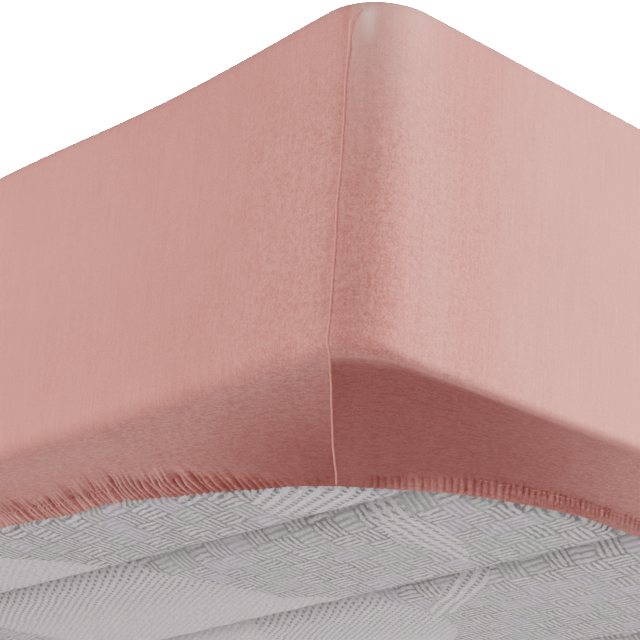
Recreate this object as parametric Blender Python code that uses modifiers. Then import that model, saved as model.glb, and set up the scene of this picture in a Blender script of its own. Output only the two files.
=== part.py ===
"""Fitted sheet of jersey knit, stretched over a queen-size mattress.

The sheet is one thin solid: it lies on top, turns down the four walls, wraps under the
mattress and ends in a folded hem that cuts across the corners in a wide curve. The mattress is
a plain closed solid inside it. Its bare underside is quilted into wide channels and is flat at
z = 0, where the whole thing rests.

Frame: metres, +Z up, X along the length, Y across, origin at the middle of the underside.
"""

import math
from collections import namedtuple

import bmesh
import bpy

# Outer size of the dressed mattress
LENGTH = 2.03
WIDTH = 1.52
DEPTH = 0.26
CROWN = 0.006                # rise of the top from its edge to its middle

# Cloth
KNIT = 0.0015                # thickness of the jersey
HEM_KNIT = 0.003             # thickness of the hem, folded over its elastic
HEM_BAND = 0.018             # width of the folded hem
CLEARANCE = 0.002            # air between cloth and mattress

# Roundings
CORNER_RADIUS = 0.040        # upright corners
TOP_RADIUS = 0.020           # top edge
END_EDGE_RADIUS = 0.034      # bottom edge of the two short ends, soft
SIDE_EDGE_RADIUS = 0.014     # bottom edge of the two long sides, crisp
CORNER_BLEND = 0.060         # length over which one bottom edge turns into the other
TOP_CORNER_GROWTH = 0.8      # how fast the corner radius grows as the cloth runs inward on top
TOP_CORNER_LIMIT = 0.12

# Wrap under the mattress: from the wall to the hem
END_WRAP = 0.145
SIDE_WRAP = 0.172
HEM_CORNER_RADIUS = 0.28
END_LIFT = 0.008             # height of the cloth where the wrap leaves the bottom edge
SIDE_LIFT = 0.002
HEM_WANDER = 0.0035          # how far the hem wanders off its line
HEM_WAVE_LENGTHS = (0.31, 0.173)

# Slow swells of the cloth, each a soft bump along one side.
# side: 0 front, 1 right end, 2 back, 3 left end; at: distance along that side, anticlockwise;
# width: reach of the bump; rise: of the top edge; push: of the wall, outward; draw: of the
# hem, inward.
Swell = namedtuple("Swell", "side at width rise push draw")
SWELLS = (
    Swell(3, 1.29, 0.140, -0.0040, -0.0015, 0.018),
    Swell(3, 1.00, 0.160, 0.0070, 0.0010, 0.000),
    Swell(3, 0.46, 0.200, -0.0030, -0.0020, -0.006),
    Swell(0, 0.36, 0.140, -0.0030, -0.0010, 0.004),
    Swell(0, 0.85, 0.260, 0.0030, 0.0015, -0.005),
    Swell(0, 1.50, 0.180, -0.0040, -0.0015, 0.010),
    Swell(1, 0.35, 0.150, -0.0035, -0.0015, 0.012),
    Swell(1, 0.90, 0.220, 0.0040, 0.0010, -0.006),
    Swell(2, 0.40, 0.220, 0.0030, 0.0010, -0.004),
    Swell(2, 1.05, 0.180, -0.0035, -0.0015, 0.006),
    Swell(2, 1.62, 0.150, 0.0035, 0.0010, 0.008),
)
SWELL_FADE = 0.10            # distance over which a swell dies out on the top

# Quilted channels of the mattress underside: creases across the width.
# place: where a crease crosses the X axis; skew: its slant off the Y axis, in degrees.
Crease = namedtuple("Crease", "place skew")
CREASES = (
    Crease(-0.710, 5.0),
    Crease(-0.435, 9.5),
    Crease(-0.139, 4.0),
    Crease(0.150, 6.0),
    Crease(0.430, 3.5),
    Crease(0.710, 5.0),
)
CREASE_DEPTH = 0.009
CREASE_REACH = 0.055         # half width of the rounded shoulders beside a crease
CREASE_END_GAP = 0.06        # from the wall to the end of a crease
SHOULDER_WIDTHS = (0.004, 0.014, 0.034)    # mattress swelling out past the hem
SHOULDER_SHARES = (1.0, 0.35, 0.0)         # share of the step left at each of them

# Fineness of the lofts
NEAR_STEP = 0.052            # station spacing near the corners
FAR_STEP = 0.100             # and towards the middle of each side
NEAR_REACH = 0.50
CORNER_STEPS = 3             # stations on each half of an upright corner

ARC_EIGHTH = math.pi / 4


def side_length(side):
    """Length of one side of the wall outline, between the diagonals of its two corners."""
    span = LENGTH if side in (0, 2) else WIDTH
    return span - 2 * CORNER_RADIUS + 2 * CORNER_RADIUS * ARC_EIGHTH


def smooth(value):
    value = min(max(value, 0.0), 1.0)
    return value * value * (3 - 2 * value)


def half_side_stations(side):
    """Distances from a corner's diagonal to the middle of the side, finest at the corner."""
    half = side_length(side) / 2
    corner = CORNER_RADIUS * ARC_EIGHTH
    stops = [corner * step / CORNER_STEPS for step in range(CORNER_STEPS)]
    near = max(1, round((NEAR_REACH - corner) / NEAR_STEP))
    stops += [corner + (NEAR_REACH - corner) * step / near for step in range(near)]
    far = max(1, round((half - NEAR_REACH) / FAR_STEP))
    stops += [NEAR_REACH + (half - NEAR_REACH) * step / far for step in range(far)]
    return stops, half


def stations():
    """All stations round the outline, anticlockwise from the front left corner."""
    result = []
    for side in range(4):
        stops, half = half_side_stations(side)
        result += [(side, stop) for stop in stops]
        result.append((side, half))
        result += [(side, 2 * half - stop) for stop in reversed(stops[1:])]
    return result


def outline_point(side, along, inset_x, inset_y, radius):
    """Point of a rounded rectangle set in from the walls, at the same share of its side."""
    half_x = LENGTH / 2 - inset_x
    half_y = WIDTH / 2 - inset_y
    run, depth = (half_x, half_y) if side in (0, 2) else (half_y, half_x)
    arc = radius * ARC_EIGHTH
    straight = 2 * (run - radius)
    distance = along / side_length(side) * (straight + 2 * arc)
    if distance < arc:
        angle = distance / radius - ARC_EIGHTH
        across, out = -(run - radius) + radius * math.sin(angle), radius * math.cos(angle)
    elif distance > arc + straight:
        angle = (distance - arc - straight) / radius
        across, out = run - radius + radius * math.sin(angle), radius * math.cos(angle)
    else:
        across, out = distance - arc - (run - radius), radius
    out += depth - radius
    turned = ((across, -out), (out, across), (-across, out), (-out, -across))
    return turned[side]


def edge_share(side, along):
    """0 on a long side, 1 on a short end, turning from one to the other at the corners."""
    near = min(along, side_length(side) - along)
    away = smooth(0.5 + near / CORNER_BLEND)
    return away if side in (1, 3) else 1 - away


def swell(side, along, column):
    """Sum of the swells of one side at a station."""
    total = 0.0
    for row in SWELLS:
        if row.side == side:
            total += getattr(row, column) * math.exp(-((along - row.at) / row.width) ** 2)
    fade = smooth(min(along, side_length(side) - along) / (2 * CORNER_BLEND))
    return total * fade


def hem_shift(side, along):
    """Wander of the hem at a station, towards the middle where it is positive."""
    place = along + sum(side_length(before) for before in range(side))
    long_wave, short_wave = HEM_WAVE_LENGTHS
    wave = 0.6 * math.sin(2 * math.pi * place / long_wave)
    wave += 0.4 * math.sin(2 * math.pi * place / short_wave + 1.0)
    fade = smooth(min(along, side_length(side) - along) / (2 * CORNER_BLEND))
    return HEM_WANDER * wave * fade + swell(side, along, "draw")


def top_row(side, along, inset, depth):
    """One point of the section on top, at a distance from the wall."""
    height = DEPTH + CROWN * (1 - math.exp(-(inset - TOP_RADIUS) / 0.2))
    height += swell(side, along, "rise") * math.exp(-(inset - TOP_RADIUS) / SWELL_FADE)
    radius = min(CORNER_RADIUS + TOP_CORNER_GROWTH * inset, TOP_CORNER_LIMIT)
    return inset, inset, height - depth, radius


def top_edge_row(side, along, turn, depth):
    """One point on the rounded top edge; turn runs from 0 on top to 1 on the wall."""
    angle = turn * math.pi / 2
    reach = TOP_RADIUS - depth
    inset = TOP_RADIUS - reach * math.sin(angle)
    height = DEPTH + swell(side, along, "rise") - TOP_RADIUS + reach * math.cos(angle)
    radius = CORNER_RADIUS + TOP_CORNER_GROWTH * (TOP_RADIUS * (1 - math.sin(angle)))
    return inset, inset, height, radius - depth * turn


def bottom_edge(side, along):
    share = edge_share(side, along)
    radius = SIDE_EDGE_RADIUS + (END_EDGE_RADIUS - SIDE_EDGE_RADIUS) * share
    lift = SIDE_LIFT + (END_LIFT - SIDE_LIFT) * share
    return radius, lift


def wall_row(side, along, share, depth):
    """One point between the top edge, share 0, and the bottom edge, share 1."""
    radius, lift = bottom_edge(side, along)
    upper = DEPTH + swell(side, along, "rise") - TOP_RADIUS
    lower = radius + lift
    push = swell(side, along, "push") * math.sin(math.pi * share)
    return depth - push, depth - push, upper + (lower - upper) * share, CORNER_RADIUS - depth


def wrap_radius(inset, wrap):
    return CORNER_RADIUS + (HEM_CORNER_RADIUS - CORNER_RADIUS) * inset / wrap


def bottom_edge_row(side, along, turn, depth):
    """One point on the rounded bottom edge; turn runs from 0 on the wall to 1 underneath."""
    radius, lift = bottom_edge(side, along)
    angle = turn * math.pi / 2
    reach = radius - depth
    inset = radius - reach * math.cos(angle)
    height = lift + radius - reach * math.sin(angle)
    corner = wrap_radius(radius * (1 - math.cos(angle)), (END_WRAP + SIDE_WRAP) / 2)
    return inset, inset, height, corner - depth * (1 - turn)


def wrap_row(side, along, share, depth):
    """One point underneath, from the bottom edge, share 0, to the hem, share 1."""
    start, lift = bottom_edge(side, along)
    shift = hem_shift(side, along) * share
    inset_x = start + (END_WRAP - start) * share + shift
    inset_y = start + (SIDE_WRAP - start) * share + shift
    height = lift * (1 - share) ** 2 + depth
    radius = wrap_radius((inset_x + inset_y) / 2, (END_WRAP + SIDE_WRAP) / 2)
    return inset_x, inset_y, height, radius


def loft(name, rows, close_bottom):
    """Mesh with one ring of points for each row, from the middle of the top to the last."""
    mesh = bpy.data.meshes.new(name)
    work = bmesh.new()
    places = stations()
    rings = []
    for row in rows:
        ring = []
        for side, along in places:
            inset_x, inset_y, height, radius = row(side, along)
            across, deep = outline_point(side, along, inset_x, inset_y, radius)
            ring.append(work.verts.new((across, deep, height)))
        rings.append(ring)
    count = len(places)
    for upper, lower in zip(rings, rings[1:]):
        for index in range(count):
            after = (index + 1) % count
            work.faces.new((upper[index], lower[index], lower[after], upper[after]))
    work.faces.new(rings[0])
    if close_bottom:
        work.faces.new(tuple(reversed(rings[-1])))
    work.to_mesh(mesh)
    work.free()
    return mesh


def section_rows(depth, top_insets, top_turns, wall_shares, bottom_turns, wrap_shares):
    """Row functions of a section, each called with a side and a distance along it."""
    plan = [(top_row, value) for value in top_insets]
    plan += [(top_edge_row, value) for value in top_turns]
    plan += [(wall_row, value) for value in wall_shares]
    plan += [(bottom_edge_row, value) for value in bottom_turns]
    plan += [(wrap_row, value) for value in wrap_shares]
    return [
        lambda side, along, make=make, value=value: make(side, along, value, depth)
        for make, value in plan
    ]


def plain_material(name, colour, roughness):
    material = bpy.data.materials.new(name)
    material.use_nodes = True
    shader = material.node_tree.nodes["Principled BSDF"]
    shader.inputs["Base Color"].default_value = (*colour, 1.0)
    shader.inputs["Roughness"].default_value = roughness
    shader.inputs["Metallic"].default_value = 0.0
    return material


def add_object(name, mesh, collection, material=None):
    thing = bpy.data.objects.new(name, mesh)
    collection.objects.link(thing)
    if material:
        mesh.materials.append(material)
    return thing


def build_sheet(collection):
    """The sheet: an open surface with the knit's thickness inside it, doubled at the hem."""
    band_share = 1 - HEM_BAND / (SIDE_WRAP - SIDE_EDGE_RADIUS)
    rows = section_rows(
        0.0,
        top_insets=(0.60, 0.25, 0.08),
        top_turns=(0.0, 0.25, 0.5, 0.75, 1.0),
        wall_shares=(0.33, 0.67),
        bottom_turns=(0.0, 0.25, 0.5, 0.75, 1.0),
        wrap_shares=(0.33, 0.66, band_share, 1.0),
    )
    mesh = loft("sheet", rows, close_bottom=False)
    sheet = add_object("sheet", mesh, collection, plain_material("jersey", (0.52, 0.27, 0.235), 0.8))

    ring = len(stations())
    thick = sheet.vertex_groups.new(name="thickness")
    thick.add(range(len(mesh.vertices)), KNIT / HEM_KNIT, "REPLACE")
    thick.add(range(len(mesh.vertices) - ring, len(mesh.vertices)), 1.0, "REPLACE")

    shell = sheet.modifiers.new("knit", "SOLIDIFY")
    shell.thickness = HEM_KNIT
    shell.offset = -1.0
    shell.use_even_offset = True
    shell.vertex_group = thick.name
    mesh.shade_smooth()
    mesh.set_sharp_from_angle(angle=math.radians(50))
    return sheet


def crease_cutter(name, crease, collection):
    """A bar whose upper side rises to a cusp between two rounded shoulders."""
    steps = (1.0, 0.75, 0.5, 0.25, 0.1)
    left = [(-CREASE_REACH * step, CREASE_DEPTH * (1 - step) ** 2) for step in steps]
    right = [(-across, height) for across, height in reversed(left)]
    section = left + [(0.0, CREASE_DEPTH)] + right
    section += [(CREASE_REACH, -CREASE_DEPTH), (-CREASE_REACH, -CREASE_DEPTH)]

    mesh = bpy.data.meshes.new(name)
    work = bmesh.new()
    half = WIDTH / 2 - CREASE_END_GAP
    face = work.faces.new([work.verts.new((across, -half, height)) for across, height in section])
    grown = bmesh.ops.extrude_face_region(work, geom=[face])
    moved = [part for part in grown["geom"] if isinstance(part, bmesh.types.BMVert)]
    bmesh.ops.translate(work, verts=moved, vec=(0.0, 2 * half, 0.0))
    bmesh.ops.recalc_face_normals(work, faces=work.faces)
    work.to_mesh(mesh)
    work.free()

    cutter = add_object(name, mesh, collection)
    cutter.location = (crease.place, 0.0, 0.0)
    cutter.rotation_euler = (0.0, 0.0, -math.radians(crease.skew))
    cutter.hide_render = True
    cutter.display_type = "WIRE"
    return cutter


def shoulder_row(width, share, depth):
    """Row function for the mattress past the hem, where it swells out to the floor."""
    def row(side, along):
        inset_x, inset_y, height, radius = wrap_row(side, along, 1.0, depth)
        return inset_x + width, inset_y + width, height * share, radius
    return row


def build_mattress(collection, cutters):
    """The mattress: a closed solid just inside the cloth, creased underneath."""
    depth = KNIT + CLEARANCE
    rows = section_rows(
        depth,
        top_insets=(0.25, 0.08),
        top_turns=(0.0, 0.5, 1.0),
        wall_shares=(0.5,),
        bottom_turns=(0.0, 0.5, 1.0),
        wrap_shares=(0.5,),
    )
    rows += [
        shoulder_row(width, share, depth)
        for width, share in zip(SHOULDER_WIDTHS, SHOULDER_SHARES)
    ]
    mesh = loft("mattress", rows, close_bottom=True)
    ticking = plain_material("ticking", (0.62, 0.61, 0.60), 0.85)
    mattress = add_object("mattress", mesh, collection, ticking)

    for number, crease in enumerate(CREASES, start=1):
        cutter = crease_cutter(f"crease_{number}", crease, cutters)
        cut = mattress.modifiers.new(cutter.name, "BOOLEAN")
        cut.operation = "DIFFERENCE"
        cut.object = cutter
    mesh.shade_smooth()
    mesh.set_sharp_from_angle(angle=math.radians(35))
    return mattress


def new_collection(name):
    collection = bpy.data.collections.new(name)
    bpy.context.scene.collection.children.link(collection)
    return collection


def main():
    for thing in list(bpy.data.objects):
        bpy.data.objects.remove(thing)
    parts = new_collection("fitted sheet on mattress")
    cutters = new_collection("cutters")
    build_sheet(parts)
    build_mattress(parts, cutters)


main()
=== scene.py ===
"""Looks of the fitted sheet on its mattress: jersey knit, gathered hem, seams and ticking.

Metres, +Z up, X along the length. The mattress rests on z = 0 and the camera looks up at its
front left corner from below, past the floor, which is only seen from above.

A place is a distance round the walls, anticlockwise from the front left corner. It splits into
a side (0 front, 1 right end, 2 back, 3 left end) and the distance along that side. "away" is the
distance from the nearest corner. "ends" is 0 on a long side, 1 on a short end, and turns from
one to the other at the corner seams.
"""

import math
from collections import namedtuple

import bpy
import numpy as np
from mathutils import Matrix, Vector

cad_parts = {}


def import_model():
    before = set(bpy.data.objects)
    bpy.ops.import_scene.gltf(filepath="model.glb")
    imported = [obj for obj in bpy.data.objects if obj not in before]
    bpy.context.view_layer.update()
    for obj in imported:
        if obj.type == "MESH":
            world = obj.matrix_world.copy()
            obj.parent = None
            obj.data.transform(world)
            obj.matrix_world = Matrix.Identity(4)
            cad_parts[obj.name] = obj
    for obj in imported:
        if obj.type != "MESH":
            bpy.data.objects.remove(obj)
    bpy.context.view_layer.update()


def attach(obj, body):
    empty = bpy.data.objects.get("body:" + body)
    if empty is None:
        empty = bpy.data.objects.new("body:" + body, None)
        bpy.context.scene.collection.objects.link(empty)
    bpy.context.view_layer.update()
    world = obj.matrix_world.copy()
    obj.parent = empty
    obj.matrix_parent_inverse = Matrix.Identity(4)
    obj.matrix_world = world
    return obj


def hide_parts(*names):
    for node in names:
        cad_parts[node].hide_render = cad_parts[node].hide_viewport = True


# ---------------------------------------------------------------- sizes, as in the CAD model

LENGTH = 2.03
WIDTH = 1.52
DEPTH = 0.26
CROWN = 0.006
CROWN_RUN = 0.2
CORNER_RADIUS = 0.040
TOP_RADIUS = 0.020
CORNER_BLEND = 0.060
TOP_CORNER_GROWTH = 0.8
TOP_CORNER_LIMIT = 0.12
END_WRAP = 0.145
SIDE_WRAP = 0.172
MEAN_WRAP = (END_WRAP + SIDE_WRAP) / 2
HEM_CORNER_RADIUS = 0.28
HEM_WANDER = 0.0035
HEM_WAVE_LENGTHS = (0.31, 0.173)
SWELL_FADE = 0.10

# Slow swells of the cloth. at: along the side; rise: of the top edge; push: of the wall;
# draw: of the hem, inward.
Swell = namedtuple("Swell", "side at width rise push draw")
SWELLS = (
    Swell(3, 1.29, 0.140, -0.0040, -0.0015, 0.020),
    Swell(3, 1.00, 0.180, 0.0070, 0.0010, 0.010),
    Swell(3, 0.46, 0.200, -0.0030, -0.0020, -0.006),
    Swell(0, 0.36, 0.160, -0.0018, -0.0010, 0.003),
    Swell(0, 0.85, 0.260, 0.0030, 0.0015, -0.003),
    Swell(0, 1.50, 0.180, -0.0040, -0.0015, 0.010),
    Swell(1, 0.35, 0.150, -0.0035, -0.0015, 0.012),
    Swell(1, 0.90, 0.220, 0.0040, 0.0010, -0.006),
    Swell(2, 0.40, 0.220, 0.0030, 0.0010, -0.004),
    Swell(2, 1.05, 0.180, -0.0035, -0.0015, 0.006),
    Swell(2, 1.62, 0.150, 0.0035, 0.0010, 0.008),
)

# Creases of the quilted underside. place: on the X axis; skew: off the Y axis, in degrees.
Crease = namedtuple("Crease", "place skew")
CREASES = (
    Crease(-0.694, 5.0),
    Crease(-0.435, 9.5),
    Crease(-0.139, 4.0),
    Crease(0.150, 6.0),
    Crease(0.430, 3.5),
    Crease(0.710, 5.0),
)

# ---------------------------------------------------------------- sizes of the finer cloth

END_EDGE_RADIUS = 0.015      # of the bottom edges, which are tighter than in the CAD model
SIDE_EDGE_RADIUS = 0.006
SEAM_EDGE_GROWTH = 0.004     # and how much larger they are beside a corner seam
END_LIFT = 0.006             # how far a bottom edge is drawn up at a corner
SIDE_LIFT = 0.004
LIFT_RUN = 0.13
EDGE_CHANGE = 0.050          # length over which one edge becomes the other, about a seam
HEM_CORNER_DRAW = 0.007      # how much further in the hem runs at a corner
HEM_CORNER_RUN = 0.08
WRAP_HOLLOW = 0.009          # how far the wrap is drawn up before it meets the hem's band
HOLLOW_RUN = 0.090
END_BULGE = 0.003            # and how much further just behind its edge, beside a corner
SIDE_BULGE = 0.0055
BULGE_PLACE = 0.035
BULGE_FADE = 0.32

HEM_BAND = 0.018             # width of the gathered band on the cloth
END_BAND_REACH = 0.015       # and seen from below
SIDE_BAND_REACH = 0.011
BAND_FADE = 0.05             # how far above the band its gathers die out
HEM_EDGE_HEIGHT = 0.0022
GROOVE_DEPTH = 0.0010        # of the sewn line above the band
GROOVE_WIDTH = 0.0016
END_PITCH = (0.0082, 0.0118)    # least and greatest width of a gather
SIDE_PITCH = (0.0062, 0.0088)
END_RELIEF = 0.0052
SIDE_RELIEF = 0.0033
NEAR_CALM = 0.75             # how much lower and shorter the ends' gathers are by a corner
FOLD_PITCH = (0.028, 0.075)  # of the wider folds that run out of the gathers
FOLD_RELIEF = 0.0046
BAND_LEAN = -0.40            # of the ends' gathers, towards the nearest corner as they go up
CORNER_UPRIGHT = 0.70        # and how much more beside that corner
FOLD_LEAN = 0.95             # of the folds above them
SIDE_LEAN = 0.20             # of the long sides' gathers

# Wider folds beside the near corner on the left end: distance from it, depth share, reach.
NEAR_FOLD_RUN = 0.44
NEAR_FOLDS = (
    (0.098, 0.20, 0.008),
    (0.132, 0.45, 0.012),
    (0.150, 0.30, 0.012),
    (0.180, 0.60, 0.016),
    (0.205, 0.55, 0.016),
    (0.255, 0.35, 0.018),
    (0.320, 1.00, 0.036),
    (0.362, 0.70, 0.036),
    (0.410, 0.70, 0.030),
)

SEAM_OFFSET = -0.017         # where a corner seam runs, from the corner's diagonal
SEAM_WIDTH = 0.0019
SEAM_HEIGHT = 0.0010
SEAM_SUNK = 0.0003           # how far its edges lie in the cloth
SEAM_WANDER = 0.0010
SEAM_TOP_HEIGHT = 0.0007     # how much higher it is beside the dimple
SEAM_HOOK = 0.006            # how far its upper end curls past the corner
SEAM_FURROW = 0.0002         # depth and width of the soft furrow that it lies in
SEAM_FURROW_WIDTH = 0.0040
DIMPLE_DOWN = 0.029          # the drawn-in spot beside a seam: its middle, below the top
DIMPLE_ASIDE = 0.0082        # and before the corner
DIMPLE_SLANT = 0.40
DIMPLE_SIZE = (0.0058, 0.0125)
DIMPLE_DEPTH = 0.0020
STITCH_LENGTH = 0.0030
STITCH_PITCH = 0.0046
STITCH_RADIUS = 0.00040
STITCH_SLANT = 0.0014        # half of how far a stitch crosses the hem's line
STITCH_SIDES = 5
STITCH_RINGS = ((0.0, 0.25), (0.2, 0.9), (0.8, 0.9), (1.0, 0.25))     # place, thickness

# The cloth's painted light and shade: added amounts deepen it with painted shade, and taken ones
# make it paler with painted light.
SIDE_WRAP_PAINTED_SHADE = 0.66       # painted shade of the wrap beside a corner, on the long sides
END_WRAP_PAINTED_SHADE = 0.56        # and on the ends
REST_WRAP_PAINTED_SHADE = 0.02             # and of the wrap elsewhere
MIDDLE_WRAP_PAINTED_SHADE = 0.09           # of the ends' wrap a little further along
FAR_WRAP_PAINTED_LIGHT = 0.07              # painted light taken from the ends' wrap far along
HEM_EDGE_PAINTED_SHADE = 0.15         # painted shade of the very edge of the ends' hem
ROLLED_PAINTED_HIGHLIGHT = 0.11           # painted highlight taken where the ends' gathers roll over
WALL_PAINTED_LIGHT = 0.075    # painted light taken from the long walls
CORNER_PAINTED_LIGHT = 0.18   # and from their upper corners
WALL_PAINTED_SHADE_BANDS = (0.055, 0.050)       # painted shade of a soft upright band beside the corner, on a long wall and on an end
SIDE_GATHER_PAINTED_LIGHT = (0.10, 0.36)        # painted light taken from the long sides' gathers: all along, and more by a corner
END_GATHER_PAINTED_LIGHT = 0.18       # painted light taken from the ends' gathers
DIMPLE_PAINTED_HIGHLIGHT = 0.55           # painted highlight taken in the dimples
FOLD_PAINTED_LIGHT_AND_SHADE = 0.22             # painted highlight taken from the gathers' ridges, and painted shade added in their furrows

COARSE_COLUMNS = 880
FINE_FACTOR = 4              # fine columns for each coarse one, at the hem
TOP_ROWS = (0.70, 0.52, 0.38, 0.27, 0.18, 0.12, 0.078, 0.048, 0.030)    # from the wall
WRAP_ROWS = (0.03, 0.06, 0.10, 0.16, 0.24, 0.34)                        # shares of the wrap
FOLD_ROWS = (0.078, 0.066, 0.056)                                       # from the hem's edge
BAND_ROWS = (0.047, 0.040, 0.034, 0.029, 0.025, 0.021, 0.018, 0.0155, 0.012, 0.008, 0.004, 0.0)
TURNED_ROWS = ((-0.0006, 0.0012), (0.0, 0.0024), (0.006, 0.0030), (0.014, 0.0030))  # and inside

EIGHTH = math.pi / 4
SPANS = (LENGTH, WIDTH, LENGTH, WIDTH)
SIDE_LENGTHS = np.array([span - 2 * CORNER_RADIUS * (1 - EIGHTH) for span in SPANS])
SIDE_STARTS = np.concatenate([[0.0], np.cumsum(SIDE_LENGTHS)])
PERIMETER = float(SIDE_STARTS[-1])


# ---------------------------------------------------------------- the shape of the cloth

def smooth(value):
    """0 up to 0, 1 from 1 on, and an even curve between them."""
    value = np.clip(value, 0.0, 1.0)
    return value * value * (3 - 2 * value)


def bell(value, width, middle=0.0):
    """1 in the middle, fading to both sides."""
    return np.exp(-((value - middle) / width) ** 2)


def between(side_size, end_size, ends):
    """A size that changes from the long sides to the ends."""
    return side_size + (end_size - side_size) * ends


def split(place):
    """Side numbers and distances along them, for places round the outline."""
    place = np.mod(place, PERIMETER)
    side = np.clip(np.searchsorted(SIDE_STARTS, place, side="right") - 1, 0, 3)
    return side, place - SIDE_STARTS[side]


def to_corner(place):
    side, along = split(place)
    return np.minimum(along, SIDE_LENGTHS[side] - along)


def past_seam(place):
    """Distance from the nearest corner seam, negative on the long sides."""
    side = split(place - SEAM_OFFSET)[0]
    return np.where(side % 2 == 1, 1.0, -1.0) * to_corner(place - SEAM_OFFSET)


Spots = namedtuple("Spots", "place side along away ends")


def spots_at(place):
    """Places round the outline, with what the shapes ask of them."""
    side, along = split(place)
    ends = smooth(0.15 + past_seam(place) / EDGE_CHANGE)
    return Spots(SIDE_STARTS[side] + along, side, along, to_corner(place), ends)


def outline(at, inset_x, inset_y, radius):
    """Points of a rounded rectangle set in from the walls, at the same share of each side."""
    side = at.side
    half_x = LENGTH / 2 - inset_x
    half_y = WIDTH / 2 - inset_y
    long_side = side % 2 == 0
    run = np.where(long_side, half_x, half_y)
    deep = np.where(long_side, half_y, half_x)
    arc = radius * EIGHTH
    straight = 2 * (run - radius)
    distance = at.along / SIDE_LENGTHS[side] * (straight + 2 * arc)
    first = distance < arc
    last = distance > arc + straight
    angle = np.where(first, distance / radius - EIGHTH, (distance - arc - straight) / radius)
    angle = np.where(first | last, angle, 0.0)
    across = radius * np.sin(angle) + np.where(first, -(run - radius), run - radius)
    across = np.where(first | last, across, distance - arc - (run - radius))
    out = radius * np.cos(angle) + deep - radius
    x = np.choose(side, (across, out, -across, -out))
    y = np.choose(side, (-out, across, out, -across))
    return x, y


def swell(at, column):
    total = 0.0 * at.along
    for row in SWELLS:
        bump = getattr(row, column) * bell(at.along, row.width, row.at)
        total += np.where(at.side == row.side, bump, 0.0)
    return total * smooth(at.away / (2 * CORNER_BLEND))


def hem_shift(at):
    """How much further in than its own outline the hem runs."""
    long_wave, short_wave = HEM_WAVE_LENGTHS
    wave = 0.6 * np.sin(2 * np.pi * at.place / long_wave)
    wave += 0.4 * np.sin(2 * np.pi * at.place / short_wave + 1.0)
    wave = HEM_WANDER * wave * smooth(at.away / (2 * CORNER_BLEND))
    corner = HEM_CORNER_DRAW * (1 + 0.5 * at.ends) * bell(at.away, HEM_CORNER_RUN)
    return wave + swell(at, "draw") + corner


def bottom_edge(at):
    """Radius of the bottom edge, and how far it is drawn up."""
    growth = SEAM_EDGE_GROWTH * (0.35 + 0.65 * at.ends) * bell(at.away, 0.06 + 0.05 * at.ends)
    radius = between(SIDE_EDGE_RADIUS, END_EDGE_RADIUS, at.ends) + growth
    return radius, between(SIDE_LIFT, END_LIFT, at.ends) * bell(at.away, LIFT_RUN)


def wrap_radius(inset):
    return CORNER_RADIUS + (HEM_CORNER_RADIUS - CORNER_RADIUS) * inset / MEAN_WRAP


# A row is a function of spots that gives the insets in x and y, the height and the corners'
# radius of one line round the section. The next five shapes make them.

def top_row(at, inset):
    """Points of the section on top, at a distance from the wall."""
    height = DEPTH + CROWN * (1 - np.exp(-(inset - TOP_RADIUS) / CROWN_RUN))
    height = height + swell(at, "rise") * np.exp(-(inset - TOP_RADIUS) / SWELL_FADE)
    radius = np.minimum(CORNER_RADIUS + TOP_CORNER_GROWTH * inset, TOP_CORNER_LIMIT)
    inset = inset + 0 * at.along
    return inset, inset, height, radius + 0 * at.along


def top_edge_row(at, turn):
    """Points on the rounded top edge; turn runs from 0 on top to 1 on the wall."""
    angle = turn * np.pi / 2
    inset = TOP_RADIUS * (1 - math.sin(angle)) + 0 * at.along
    height = DEPTH + swell(at, "rise") - TOP_RADIUS * (1 - math.cos(angle))
    return inset, inset, height, CORNER_RADIUS + TOP_CORNER_GROWTH * inset


def wall_row(at, share):
    """Points between the top edge, share 0, and the bottom edge, share 1."""
    radius, lift = bottom_edge(at)
    upper = DEPTH + swell(at, "rise") - TOP_RADIUS
    push = swell(at, "push") * math.sin(math.pi * share)
    height = upper + (radius + lift - upper) * share
    return -push, -push, height, CORNER_RADIUS + 0 * at.along


def bottom_edge_row(at, turn):
    """Points on the rounded bottom edge; turn runs from 0 on the wall to 1 underneath."""
    radius, lift = bottom_edge(at)
    angle = turn * np.pi / 2
    inset = radius * (1 - math.cos(angle))
    height = lift + radius * (1 - math.sin(angle))
    return inset, inset, height, wrap_radius(inset)


def wrap_row(at, share, from_hem=None, inner=0.0):
    """Points underneath: by share from the bottom edge, or by distance from the hem's edge.

    inner moves the point into the cloth, for the turned-in layer of the hem.
    """
    start, lift = bottom_edge(at)
    reach = between(SIDE_BAND_REACH, END_BAND_REACH, at.ends)
    whole = MEAN_WRAP - start
    if from_hem is None:
        inward = (1 - share) * whole
    else:
        inward = from_hem + 0 * at.along
        flat = np.maximum(inward - HEM_BAND, 0.0) + np.minimum(inward, HEM_BAND) * reach / HEM_BAND
        share = 1 - flat / whole
    shift = hem_shift(at) * share

    run = share * whole
    bulge = between(SIDE_BULGE, END_BULGE, at.ends) * (0.2 + 0.8 * bell(at.away, BULGE_FADE))
    slack = smooth(at.away / (0.16 + 0.14 * at.ends))
    hollow = WRAP_HOLLOW * smooth(run / HOLLOW_RUN) * (0.30 + 0.70 * slack)
    hollow = hollow + bulge * run / BULGE_PLACE * np.exp(1 - run / BULGE_PLACE)
    rise = 1 - (1 - np.clip(inward / HEM_BAND, 0, 1)) ** 1.4
    height = lift * (1 - share) ** 2 + hollow * rise + HEM_EDGE_HEIGHT * (1 - rise)

    slope = np.arctan2(WRAP_HOLLOW, reach) * bell(np.maximum(inward - HEM_BAND * 0.7, 0.0), 0.010)
    out = band_relief(at, inward) - inner
    inset_x = start + (END_WRAP - start) * share + shift - out * np.sin(slope)
    inset_y = start + (SIDE_WRAP - start) * share + shift - out * np.sin(slope)
    height = np.maximum(height - out * np.cos(slope), 0.0)
    return inset_x, inset_y, height, wrap_radius(share * MEAN_WRAP)


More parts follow.
